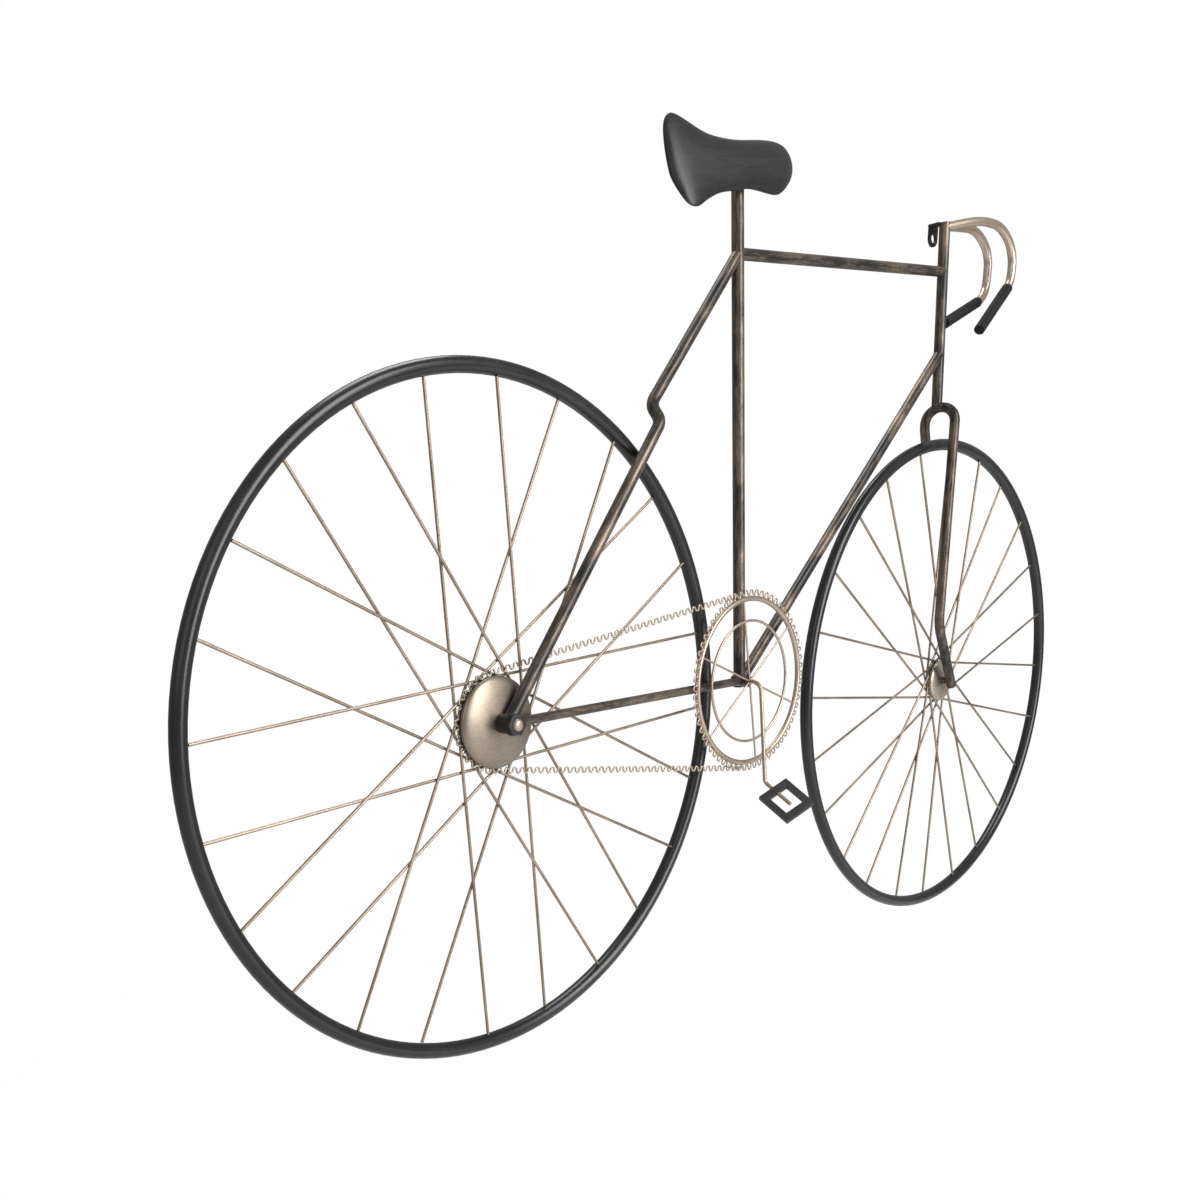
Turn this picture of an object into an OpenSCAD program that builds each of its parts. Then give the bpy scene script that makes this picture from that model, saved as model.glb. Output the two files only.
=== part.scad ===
// Wall-hung model bicycle in bent rod, one metre long, wheels free to turn.
// Positions below are from the rear wheel's centre: X forward, Y to the wall, Z up.
// The placed part has its origin in the hole of the front hanger.

/* [Wheels] */
// Radius of both tyres' centreline
tyre_radius = 214; // [180:1:250]
// Radius of the tyre's own tube
tyre_tube = 5; // [4:0.5:8]
// Free space between the two tyres
wheel_gap = 124.4; // [90:0.1:160]
// Spokes on each wheel
spoke_count = 24; // [12:2:36]
// Radius of a spoke
spoke_r = 1; // [0.6:0.1:2]
// Rim angle of the rear wheel's first spoke
rear_first = 14.2; // [0:0.1:30]
// Rim angle of the front wheel's first spoke
front_first = 1.5; // [0:0.1:30]
// Distance at which a rear spoke passes the axle
rear_tangent = 27.7; // [20:0.1:30]
// Distance at which a front spoke passes the axle
front_tangent = 16.7; // [12:0.1:24]

/* [Frame] */
// Radius of the seat rod and the head rod
rod_r = 4.5; // [3:0.1:7]
// Radius of the tubes, stays and fork
tube_r = 4.2; // [3:0.1:6]
// Radius of the chain stay
chain_stay_r = 3.1; // [2.5:0.1:3.5]
// Chain stay's clearance from the rear tyre
stay_gap = 0.5; // [0.4:0.1:2]
// How far the stays stand off the wheel at the rear axle
stay_off = 16; // [14:0.5:24]
// Seat rod's foot, forward of the rear tyre
seat_gap = 37.5; // [25:0.5:50]
// Down tube's clearance from the front tyre
down_gap = 4.9; // [2:0.1:12]
// Radius of the fork's arch
arch_r = 14; // [13:0.5:20]

/* [Handlebar] */
// Radius of the bent bar
bar_r = 3.7; // [2.5:0.1:5]
// Radius of the grips
grip_r = 4.7; // [4:0.1:7]
// Each drop's distance from the middle
drop_half = 12; // [8:0.5:20]
// Length of a grip
grip_long = 62.8; // [40:0.1:80]

/* [Chain and crank] */
// Chainring centre, behind the seat rod's foot
ring_back = 7.5; // [0:0.5:12]
// Chainring centre, above the rear axle
ring_z = 14.5; // [5:0.5:20]
// Chainring plane, out from the wheel's middle
ring_off = 15; // [15:0.1:20]
// Radius of the chainring's outer wire circle
ring_radius = 62.3; // [50:0.1:75]
// Radius of the chainring's inner wire circle
inner_radius = 45.8; // [30:0.5:55]
// Wave length of the chain wire
wave_long = 6.48; // [5:0.01:9]
// Half height of the chain wire's wave
wave_half = 1.8; // [1:0.1:2.5]
// Half side of the chain wire
wire_half = 0.53; // [0.4:0.01:0.9]

/* [Colours] */
// Rubbed dark frame
dark = "#3a332e"; // [#3a332e, #2b2b2b]
// Brushed champagne metal
bronze = "#a8977f"; // [#a8977f, #b5a58c]
// Tyres, grips, pedal and hangers
black = "#2c2c2d"; // [#2c2c2d, #1e1e1e]
// Saddle cover
cover = "#3e3e3e"; // [#3e3e3e, #2f2f2f]

/* [Hidden] */
$fn = 48;
rear = [0, 0, 0];
wheelbase = 2 * (tyre_radius + tyre_tube) + wheel_gap;
front = [wheelbase, 0, 0];
seat_foot = tyre_radius + tyre_tube + seat_gap;
seat_a = [seat_foot, 0, 9];
seat_b = [seat_foot - 28, 0, tyre_radius + 172];
fork_x = wheelbase - 35.4;
fork_y = -4;
fork_z = tyre_radius + 15;
near_y = fork_y - arch_r;
far_y = fork_y + arch_r;
head_a = [fork_x, 0, fork_z + arch_r + 1.6];
head_b = [fork_x - 8, 0, tyre_radius + 181];
hang = [head_b[0] + 1, 11, head_b[2] - 10.5];
ring_x = seat_foot - ring_back;
ring_c = [ring_x, -ring_off, ring_z];
axle_r = 4;
pin_r = 3;
hub_rim = 29.4;
hub_loop = 31;
hub_loop_y = -3.2;
ring_loop = ring_radius + 2 + wire_half + 0.08 + wave_half;

// Rods, straight and bent
function unit(v) = v / norm(v);
function turn(p, i) = acos(max(-1, min(1, unit(p[i] - p[i - 1]) * unit(p[i + 1] - p[i]))));
function on(a, b, z) = a + (b - a) * (z - a[2]) / (b[2] - a[2]);
function meet(p, d, q, e) =
    p + d * ((q[0] - p[0]) * e[2] - (q[2] - p[2]) * e[0]) / (d[0] * e[2] - d[2] * e[0]);
function dirn(a) = [cos(a), 0, sin(a)];
function lead(p, i, rb) = rb[i - 1] * tan(turn(p, i) / 2);

module along(a, b) {
    w = unit(b - a);
    h = abs(w[1]) < 0.9 ? [0, 1, 0] : [1, 0, 0];
    u = unit(cross(h, w));
    v = cross(w, u);
    multmatrix([[u[0], v[0], w[0], a[0]], [u[1], v[1], w[1], a[1]], [u[2], v[2], w[2], a[2]], [0, 0, 0, 1]])
        children();
}

module rod(a, b, r) {
    along(a, b) cylinder(h = norm(b - a), r = r);
}

module bend(p, i, r, rb) {
    u = unit(p[i] - p[i - 1]);
    w = unit(p[i + 1] - p[i]);
    n = unit(w - u * (u * w));
    t = p[i] - u * lead(p, i, rb) + n * rb[i - 1];
    z = cross(-n, u);
    multmatrix([[-n[0], u[0], z[0], t[0]], [-n[1], u[1], z[1], t[1]], [-n[2], u[2], z[2], t[2]], [0, 0, 0, 1]])
        rotate_extrude(angle = turn(p, i)) translate([rb[i - 1], 0]) circle(r = r);
}

// Straight lengths run a little way into the bends, a hair thinner, so the joins are clean
lap = 0.4;
skin = 0.03;
module bent_rod(p, r, rb) {
    n = len(p);
    for (i = [0:n - 2]) {
        d = unit(p[i + 1] - p[i]);
        a = i == 0 ? p[0] : p[i] + d * (lead(p, i, rb) - lap);
        b = i == n - 2 ? p[n - 1] : p[i + 1] - d * (lead(p, i + 1, rb) - lap);
        rod(a, b, r - skin);
    }
    for (i = [1:n - 2]) bend(p, i, r, rb);
}

module across(c, y0, y1, r) {
    translate([c[0], max(y0, y1), c[2]]) rotate([90, 0, 0]) cylinder(h = abs(y1 - y0), r = r);
}

// Frame
module seat_core() { rod(seat_a, seat_b, rod_r); }
module head_core() { rod(head_a, head_b, rod_r); }
module eye_core() { across(rear, -stay_off + 4.3, -stay_off - 4.3, axle_r + 2.4); }
module pin_core() { across([ring_x, 0, ring_z], 0, -ring_off + 0.8, tube_r); }
fork_path = [[fork_x, far_y - 1.8, fork_z - 14.5], [fork_x, far_y, fork_z - 2.6],
             [fork_x, far_y, fork_z + arch_r], [fork_x, near_y, fork_z + arch_r],
             [fork_x - 2, near_y, 52], [wheelbase + 1.4, near_y + 3.5, -5]];
module fork_core() { bent_rod(fork_path, tube_r, [18, arch_r - 0.6, arch_r - 0.6, 30]); }

module seat_rod() { color(dark) seat_core(); }

module top_tube() {
    color(dark) difference() {
        rod(on(seat_a, seat_b, tyre_radius + 105), on(head_a, head_b, tyre_radius + 141.6), tube_r);
        seat_core();
        head_core();
    }
}

module head_rod() {
    color(dark) difference() {
        head_core();
        fork_core();
    }
}

// The down tube runs from the seat rod's foot past the front tyre to the head rod
down_a = on(seat_a, seat_b, seat_a[2] + tube_r - 0.8);
down_to = front - down_a;
down_clear = tyre_radius + tyre_tube + tube_r + down_gap;
down_dir = dirn(atan2(down_to[2], down_to[0]) + asin(down_clear / norm(down_to)));
module down_tube() {
    color(dark) difference() {
        rod(down_a, meet(down_a, down_dir, head_a, head_b - head_a), tube_r);
        seat_core();
        head_core();
    }
}

// The seat stay steps sideways above the rear tyre
stay_top = on(seat_a, seat_b, tyre_radius + 105);
stay_turn = atan2(stay_top[2], stay_top[0]);
stay_jog = dirn(stay_turn) * (tyre_radius + 27.3) - [0, stay_off - 5, 0];
stay_path = [stay_top, dirn(stay_turn + 1.32) * (tyre_radius + 38.5), stay_jog, [0, -stay_off, 0]];
module seat_stay() {
    color(dark) difference() {
        bent_rod(stay_path, tube_r, [13, 13]);
        seat_core();
        eye_core();
    }
}

// The chain stay passes just in front of the rear tyre and ends in the bottom pin
chain_stay_y = -stay_off + (stay_off - tyre_tube - chain_stay_r - stay_gap) * ring_x / tyre_radius;
module chain_stay() {
    color(dark) difference() {
        rod([0, -stay_off, 0], [ring_x, chain_stay_y, ring_z], chain_stay_r);
        eye_core();
        pin_core();
        seat_core();
        rod([0, -stay_off, 0], [0, -stay_off, 0] + (stay_jog + [0, stay_off, 0]) * 0.3, tube_r);
    }
}

module bottom_pin() {
    color(dark) difference() {
        pin_core();
        seat_core();
    }
}

module fork() {
    color(dark) difference() {
        fork_core();
        across(front, 5, -15.9, pin_r);
    }
}

// Handlebar and grips
// Each row: side, bend after the top, bend into the drop, foot of the drop,
// direction of the grip, its bend's radius, grip's start
drops = [[-1, [98, 9.5], [123.5, -9], [120.5, -35.6], unit([-46.3, 0, -42.7]), 14, 6],
         [1, [100, 12.5], [125, -5], [123.5, -41.8], unit([-51, 0, -24]), 20, 16]];
function at_head(d, p) = [fork_x - 27 + p[0], d[0] * drop_half, head_b[2] + p[1]];
function drop_end(d, t) = at_head(d, d[3]) + d[4] * t;
function bar_path(d) =
    [[head_b[0] - 0.5, d[0] * 0.8, head_b[2] - 4], at_head(d, [56, 6.5]), at_head(d, d[1]),
     at_head(d, d[2]), at_head(d, d[3]), drop_end(d, d[6] + grip_long - 3.3)];
module bar_side(d) { bent_rod(bar_path(d), bar_r, [40, 45, 18, d[5]]); }

module handlebar() {
    color(bronze) difference() {
        union() {
            bar_side(drops[0]);
            bar_side(drops[1]);
        }
        head_core();
    }
}

module grip(d) {
    color(black) difference() {
        rod(drop_end(d, d[6]), drop_end(d, d[6] + grip_long), grip_r);
        rod(drop_end(d, d[6] - 1), drop_end(d, d[6] + grip_long - 3.3), bar_r);
    }
}

// Hangers
hole_drop = 10.5;
tab_r = 6.7;
module hanger(x, strip, top) {
    translate([x, 0, top]) {
        translate([strip, 2, -2.4]) cube([5.5, 10, 2.4]);
        difference() {
            union() {
                translate([-tab_r, 10, -hole_drop]) cube([2 * tab_r, 2, hole_drop]);
                across([0, 0, -hole_drop], 10, 12, tab_r);
            }
            across([0, 0, -hole_drop], 9, 13, 3.75);
        }
    }
}

module hanger_front() {
    color(black) difference() {
        hanger(hang[0], -7, head_b[2]);
        head_core();
        bar_side(drops[1]);
    }
}

module hanger_rear() {
    color(black) difference() {
        hanger(seat_b[0] + 0.5, -2.75, seat_b[2]);
        seat_core();
    }
}

// Saddle, lofted through cross-sections along its length
// Each row: place along the saddle, lower edge, upper edge, crown, underside, height of the edge
sad = [[-61.4, -5, 1.6, 2, 2, -5.1],
       [-59.9, -14.2, 19.8, 3.6, 4, -3.2],
       [-57.3, -21.9, 32, 5.6, 5, -1.2],
       [-50, -23.8, 36.3, 8.6, 5.5, 1],
       [-39.1, -19.8, 31.3, 11.2, 5.5, 0.8],
       [-21.3, -15, 23.8, 12.8, 5, 0.4],
       [-4.2, -14.2, 19.9, 12.6, 5, 0.7],
       [10.9, -13.4, 18.2, 12.1, 5, 1.1],
       [27, -16, 18.6, 12.4, 5, 0.7],
       [44.5, -18.1, 19.5, 11.9, 5, 0],
       [58.7, -11.5, 18.2, 8.7, 4.5, -0.1],
       [67.1, -4.4, 14.1, 4.9, 3, -1.1],
       [71.3, 2.5, 7.9, 1.5, 1.5, -1.7]];
sad_n = 20;
function bow(s) = sign(s) * pow(abs(s), 0.8);
function sad_ring(r) = [for (k = [0:sad_n - 1]) let (a = 360 * k / sad_n)
    [r[0], (r[1] + r[2]) / 2 + (r[2] - r[1]) / 2 * cos(a), r[5] + bow(sin(a)) * (sin(a) > 0 ? r[3] : r[4])]];
sad_m = len(sad);
sad_pts = [for (i = [0:sad_m - 1]) each sad_ring(sad[i])];
sad_faces = concat(
    [[for (k = [0:sad_n - 1]) k]],
    [for (i = [0:sad_m - 2]) for (k = [0:sad_n - 1])
        let (a = i * sad_n + k, b = i * sad_n + (k + 1) % sad_n)
            each [[a, a + sad_n, b], [b, a + sad_n, b + sad_n]]],
    [[for (k = [sad_n - 1:-1:0]) (sad_m - 1) * sad_n + k]]);

module saddle() {
    color(cover) difference() {
        translate(seat_b + [-13.5, -7, -18]) rotate([0, -13, 0]) rotate([75, 0, 0])
            polyhedron(points = sad_pts, faces = sad_faces, convexity = 4);
        rod(seat_a, seat_b, rod_r + 0.02);
        translate(seat_b + [-9.5, -1, -15]) cube([20, 30, 15.3]);
    }
}

// Axles
module rear_axle() {
    color(bronze) {
        across(rear, 3, -stay_off - 9.6, axle_r);
        translate([0, -stay_off - 9.6, 0]) rotate([90, 0, 0]) rotate_extrude()
            polygon([[0, 0], [axle_r, 0], [axle_r - 0.3, 0.8], [axle_r - 1.1, 1.5], [axle_r - 2.4, 1.9], [0, 2]]);
        across(rear, 3, 5.2, axle_r + 3);
    }
}

module rear_eye() {
    color(dark) difference() {
        eye_core();
        across(rear, -stay_off + 5, -stay_off - 5, axle_r);
    }
}

module rear_nut() {
    color(black) difference() {
        translate([0, -stay_off - 4.3, 0]) rotate([90, 0, 0]) cylinder(h = 5, r = 7.6, $fn = 6);
        across(rear, -stay_off - 4, -stay_off - 10, axle_r);
    }
}

module front_axle() {
    color(dark) {
        across(front, 3, -15.9, pin_r);
        across(front, 3, 4.6, pin_r + 2);
    }
}

// Chainring, its toothed wire and the chain
module wire_circle(rad, r) {
    translate(ring_c) rotate([90, 0, 0]) rotate_extrude() translate([rad, 0]) circle(r = r);
}

module chainring() {
    color(bronze) {
        wire_circle(ring_radius, 2);
        wire_circle(inner_radius, 1);
        for (k = [0:2]) let (a = 41 + 60 * k, d = [cos(a), 0, sin(a)] * (ring_radius - 0.6))
            rod(ring_c - d, ring_c + d, 0.75);
    }
}

// The chain's path: round the hub, along two straight runs, round the chainring
span = norm([ring_x, ring_z]);
lift = atan2(ring_z, ring_x);
wrap = acos(-(ring_loop - hub_loop) / span);
run = sqrt(span * span - pow(ring_loop - hub_loop, 2));
function run_y(t) = hub_loop_y + (-ring_off - hub_loop_y) * max(0, (t - 0.06) / 0.94);
hub_arc = (360 - 2 * wrap) * PI / 180 * hub_loop;
ring_arc = 2 * wrap * PI / 180 * ring_loop;
loop_long = 2 * run + hub_arc + ring_arc;
waves = round(loop_long / wave_long);
function chain_mid(s) = s < hub_arc
    ? let (a = lift + wrap + s / hub_loop * 180 / PI) [dirn(a) * hub_loop + [0, hub_loop_y, 0], dirn(a)]
    : s < hub_arc + run
    ? let (n = dirn(lift - wrap), t = (s - hub_arc) / run)
        [n * hub_loop * (1 - t) + (n * ring_loop + [ring_x, 0, ring_z]) * t + [0, run_y(t), 0], n]
    : s < hub_arc + run + ring_arc
    ? let (a = lift - wrap + (s - hub_arc - run) / ring_loop * 180 / PI)
        [dirn(a) * ring_loop + ring_c, dirn(a)]
    : let (n = dirn(lift + wrap), t = (s - hub_arc - run - ring_arc) / run)
        [n * hub_loop * t + (n * ring_loop + [ring_x, 0, ring_z]) * (1 - t) + [0, run_y(1 - t), 0], n];
wave_at = [1, 2, 4, 5] / 6;
wave_up = [1, 1, -1, -1];
mitre = 0.56;
function corner(c, n, up, lean) = let (q = c + n * up * wave_half, t = [n[2], 0, -n[0]] * lean * mitre)
    [q + (n + t) * wire_half + [0, wire_half, 0], q + (n + t) * wire_half - [0, wire_half, 0],
     q - (n + t) * wire_half - [0, wire_half, 0], q - (n + t) * wire_half + [0, wire_half, 0]];
function chain_pts() = [for (w = [0:waves - 1]) for (k = [0:3])
    let (m = chain_mid((w + wave_at[k]) * loop_long / waves))
        each corner(m[0], m[1], wave_up[k], k == 0 || k == 3 ? 1 : -1)];
function tube_faces(n, closed) = concat(
    [for (i = [0:(closed ? n - 1 : n - 2)]) for (k = [0:3])
        let (a = i * 4 + k, b = i * 4 + (k + 1) % 4, c = ((i + 1) % n) * 4 + k, d = ((i + 1) % n) * 4 + (k + 1) % 4)
            each [[a, b, c], [b, d, c]]],
    closed ? [] : [[3, 2, 1, 0], [for (k = [0:3]) (n - 1) * 4 + k]]);

module chain() {
    color(bronze) polyhedron(points = chain_pts(), faces = tube_faces(waves * 4, true), convexity = 10);
}

// The teeth lie a wire's breadth in front of the chain
teeth_c = ring_c - [0, 1.2, 0];
teeth_loop = ring_loop - 0.1;
teeth_from = lift + wrap + 1;
teeth_turn = 360 - 2 * wrap - 2;
teeth = round(teeth_turn * PI / 180 * teeth_loop / wave_long);
function teeth_pts() = [for (w = [0:teeth - 1]) for (k = [0:3])
    let (a = teeth_from + teeth_turn * (w + wave_at[k]) / teeth)
        each corner(teeth_c + dirn(a) * teeth_loop, dirn(a), wave_up[k], k == 0 || k == 3 ? 1 : -1)];

module ring_teeth() {
    color(bronze) polyhedron(points = teeth_pts(), faces = tube_faces(teeth * 4, false), convexity = 10);
}

// Crank and pedal
ped_c = [ring_x, -ring_off - 38, ring_z - 87.5];
ped_d = [0, -cos(30), -sin(30)];
crank_path = [[ring_x, -ring_off - 0.78, ring_z], [ring_x, -ring_off - 10, ring_z],
              ped_c - ped_d * 23.1, ped_c + ped_d * 4];

module crank() { color(bronze) bent_rod(crank_path, 1.5, [8, 6]); }

module pedal() {
    color(black) translate(ped_c) rotate([30, 0, 0]) rotate([0, -32.8, 0]) difference() {
        translate([-13.5, -15, -1.8]) cube([27, 30, 3.6]);
        translate([-8.8, -9, -3]) cube([17.6, 18, 6]);
        across([0, 0, 0], 20, 0, 1.5);
    }
}

// Wheels
module tyre(c) {
    color(black) translate(c) rotate([90, 0, 0])
        rotate_extrude() translate([tyre_radius, 0]) circle(r = tyre_tube);
}

// A spoke runs from the rim to where it touches the hub's drum
module spokes(c, first, d) {
    rim = tyre_radius - tyre_tube - 0.15;
    q = acos(d / rim);
    for (k = [0:spoke_count - 1])
        let (s = k % 2 == 0 ? 1 : -1, a = first + k * 360 / spoke_count, t = a + s * q, y = s * (spoke_r + 0.1))
        color(bronze) rod(c + dirn(a) * rim + [0, y, 0], c + dirn(t) * d + [0, y, 0], spoke_r);
}

// A hub: a short drum that carries the spokes, and a rounded cap in front of them
function cap(rim, base, crown, bore) =
    [for (a = [0:9:81]) if (rim * cos(a) > bore + 1) [rim * cos(a), base + (crown - base) * sin(a)]];
module hub(c, rim, drum, seat, crown, bore) {
    color(bronze) translate(c) rotate([90, 0, 0]) rotate_extrude()
        polygon(concat(
            [[bore, -2.6], [drum - 0.5, -2.6], [drum, -2.1], [drum, seat], [rim - 1.2, seat], [rim, seat + 1]],
            cap(rim, seat + 1.9, crown, bore), [[bore, crown]]));
}

module rear_tyre() { tyre(rear); }
module rear_spokes() { spokes(rear, rear_first, rear_tangent); }
module rear_hub() { hub(rear, hub_rim, rear_tangent - spoke_r - 0.05, 4.1, 11.4, axle_r + 0.06); }
module front_tyre() { tyre(front); }
module front_spokes() { spokes(front, front_first, front_tangent); }
module front_hub() { hub(front, 19.2, front_tangent - spoke_r - 0.05, 2.3, 7.4, pin_r + 0.06); }

module placed() { translate(-hang) children(); }

placed() seat_rod();
placed() top_tube();
placed() head_rod();
placed() down_tube();
placed() seat_stay();
placed() chain_stay();
placed() bottom_pin();
placed() fork();
placed() handlebar();
placed() grip(drops[0]);  // grip_right
placed() grip(drops[1]);  // grip_left
placed() hanger_front();
placed() hanger_rear();
placed() saddle();
placed() rear_axle();
placed() rear_eye();
placed() rear_nut();
placed() front_axle();
placed() chainring();
placed() ring_teeth();
placed() chain();
placed() crank();
placed() pedal();
placed() rear_tyre();
placed() rear_spokes();
placed() rear_hub();
placed() front_tyre();
placed() front_spokes();
placed() front_hub();
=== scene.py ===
"""Wall-hung model bicycle: finishes, chain wire, handlebar, hubs, rear nut, saddle and stage.

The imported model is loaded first, and every piece made here stays in its frame, in metres:
X forward along the bicycle, Y towards the wall, Z up, origin in the front hanging hole.
"""
import math

import bmesh
import bpy
from mathutils import Matrix, Vector


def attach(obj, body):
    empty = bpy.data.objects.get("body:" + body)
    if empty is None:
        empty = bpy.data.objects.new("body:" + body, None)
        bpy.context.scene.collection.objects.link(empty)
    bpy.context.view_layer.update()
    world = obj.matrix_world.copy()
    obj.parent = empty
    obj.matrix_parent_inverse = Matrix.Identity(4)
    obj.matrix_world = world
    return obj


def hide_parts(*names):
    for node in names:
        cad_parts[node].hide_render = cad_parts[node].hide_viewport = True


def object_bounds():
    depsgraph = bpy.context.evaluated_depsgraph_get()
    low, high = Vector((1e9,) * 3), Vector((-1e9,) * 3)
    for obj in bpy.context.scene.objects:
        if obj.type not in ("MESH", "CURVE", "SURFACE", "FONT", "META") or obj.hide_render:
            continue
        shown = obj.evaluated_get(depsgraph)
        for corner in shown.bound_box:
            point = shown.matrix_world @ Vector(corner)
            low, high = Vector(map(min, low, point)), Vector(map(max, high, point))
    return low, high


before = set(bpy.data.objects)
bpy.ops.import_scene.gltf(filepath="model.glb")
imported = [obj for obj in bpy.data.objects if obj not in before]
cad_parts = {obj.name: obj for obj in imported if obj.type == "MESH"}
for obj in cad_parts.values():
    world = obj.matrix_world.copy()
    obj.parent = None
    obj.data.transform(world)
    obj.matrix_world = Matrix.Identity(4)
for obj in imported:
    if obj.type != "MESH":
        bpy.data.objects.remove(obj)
CAD_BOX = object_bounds()

bl_info = {
    "name": "Wall bicycle dressing",
    "version": (1, 0, 0),
    "blender": (4, 5, 0),
    "location": "3D View > Sidebar > Wall bicycle",
    "description": "Finishes and fine pieces for a wall-hung model bicycle of bent rod",
    "category": "Object",
}

MM = 0.001
REAR_AXLE = Vector((-0.520, -0.011, -0.3845))
FRONT_AXLE = Vector((0.0424, -0.011, -0.3845))

# Edges sharper than this stay sharp on the hubs and the nut
SHARP_EDGE = math.radians(38)

# Rods of the frame and the lean of each from level, which the rubbing follows
RUBBED_NODES = (
    ("rubbed_level", 6, ("top_tube", "chain_stay")),
    ("rubbed_upright", 93, ("seat_rod", "head_rod", "fork", "bottom_pin", "front_axle")),
    ("rubbed_down", 46, ("down_tube",)),
    ("rubbed_stay", 52, ("seat_stay",)),
)
CHAMPAGNE_NODES = ("chainring", "crank", "rear_axle")
SPOKE_NODES = ("rear_spokes", "front_spokes")
BLACK_NODES = ("hanger_front", "hanger_rear", "pedal", "rear_eye")
TYRE_NODES = ("rear_tyre", "front_tyre")
GRIP_NODES = ("grip_right", "grip_left")


# Sizes and colours that a user would change

class BicycleSizes(bpy.types.PropertyGroup):
    """Sizes of the pieces made here"""
    wire_radius: bpy.props.FloatProperty(
        name="Chain wire radius", description="Half the thickness of the chain wire",
        default=0.62 * MM, subtype="DISTANCE", precision=5)
    wave_half: bpy.props.FloatProperty(
        name="Wave half height", description="How far the chain wire swings to each side of its path",
        default=1.75 * MM, subtype="DISTANCE", precision=5)
    wave_long: bpy.props.FloatProperty(
        name="Wave length", description="Length of one wave along the chain",
        default=6.48 * MM, subtype="DISTANCE", precision=5)
    bar_radius: bpy.props.FloatProperty(
        name="Handlebar radius", description="Half the thickness of the handlebar",
        default=3.7 * MM, subtype="DISTANCE", precision=5)
    wave_steps: bpy.props.IntProperty(
        name="Points in a wave", description="Points of the wire in each wave", default=14, min=8)


class BicycleFinish(bpy.types.PropertyGroup):
    """Colours of the finishes"""
    frame_dark: bpy.props.FloatVectorProperty(
        name="Frame dark", description="Black ground of the rubbed frame",
        subtype="COLOR", size=3, default=(0.016, 0.0145, 0.0135))
    frame_brown: bpy.props.FloatVectorProperty(
        name="Frame brown", description="Bronze that shows where the frame is rubbed",
        subtype="COLOR", size=3, default=(0.222, 0.172, 0.129))
    champagne: bpy.props.FloatVectorProperty(
        name="Champagne metal", description="Bronze of wires, spokes, hubs and handlebar",
        subtype="COLOR", size=3, default=(0.56, 0.455, 0.355))
    tyre: bpy.props.FloatVectorProperty(
        name="Tyre", description="Satin black of the tyres",
        subtype="COLOR", size=3, default=(0.011, 0.011, 0.0113))
    grip: bpy.props.FloatVectorProperty(
        name="Grip", description="Matt black of the grips",
        subtype="COLOR", size=3, default=(0.006, 0.006, 0.006))
    fitting: bpy.props.FloatVectorProperty(
        name="Black fittings", description="Black of hangers, eye, nut and pedal",
        subtype="COLOR", size=3, default=(0.018, 0.018, 0.019))
    saddle: bpy.props.FloatVectorProperty(
        name="Saddle", description="Brushed charcoal of the saddle",
        subtype="COLOR", size=3, default=(0.027, 0.027, 0.0274))


class BicycleStage(bpy.types.PropertyGroup):
    """Camera and floor"""
    eye: bpy.props.FloatVectorProperty(
        name="Camera place", description="Where the camera stands",
        subtype="TRANSLATION", size=3, default=(-0.9949, -0.5543, -0.3053))
    heading: bpy.props.FloatProperty(
        name="Camera heading", description="Turn of the view from straight at the wall to the front wheel",
        subtype="ANGLE", default=math.radians(40.489))
    dip: bpy.props.FloatProperty(
        name="Camera dip", description="How far the view looks down",
        subtype="ANGLE", default=math.radians(10.558))
    lens: bpy.props.FloatProperty(
        name="Lens", description="Focal length on a 36 mm sensor", default=34.17)
    shift: bpy.props.FloatVectorProperty(
        name="Shift", description="Off-centre framing of the photograph", size=2, default=(0.1019, 0.1727))
    floor_drop: bpy.props.FloatProperty(
        name="Floor below wheels", description="Gap between the hung wheels and the floor",
        default=0.30, subtype="DISTANCE")


# Shader maths

# Places of the colour sockets in a Mix node, which has several sockets of each name
MIX_FACTOR = 0
MIX_LOW = 6
MIX_HIGH = 7
MIX_COLOUR = 2


class Field:
    """A shader socket that takes part in Python arithmetic"""

    def __init__(self, shader, socket):
        self.shader = shader
        self.socket = socket

    def combine(self, operation, left, right):
        return self.shader.node("ShaderNodeMath", {"operation": operation}, {0: left, 1: right})

    def __add__(self, other):
        return self.combine("ADD", self, other)

    def __radd__(self, other):
        return self.combine("ADD", other, self)

    def __mul__(self, other):
        return self.combine("MULTIPLY", self, other)

    def __rmul__(self, other):
        return self.combine("MULTIPLY", other, self)

    def clip(self):
        return self.shader.node("ShaderNodeClamp", {}, {"Value": self})

    def between(self, low, high):
        """0 below low, 1 above high, smooth between"""
        ends = {"Value": self, "From Min": low, "From Max": high}
        return self.shader.node("ShaderNodeMapRange", {"interpolation_type": "SMOOTHSTEP"}, ends)


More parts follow.
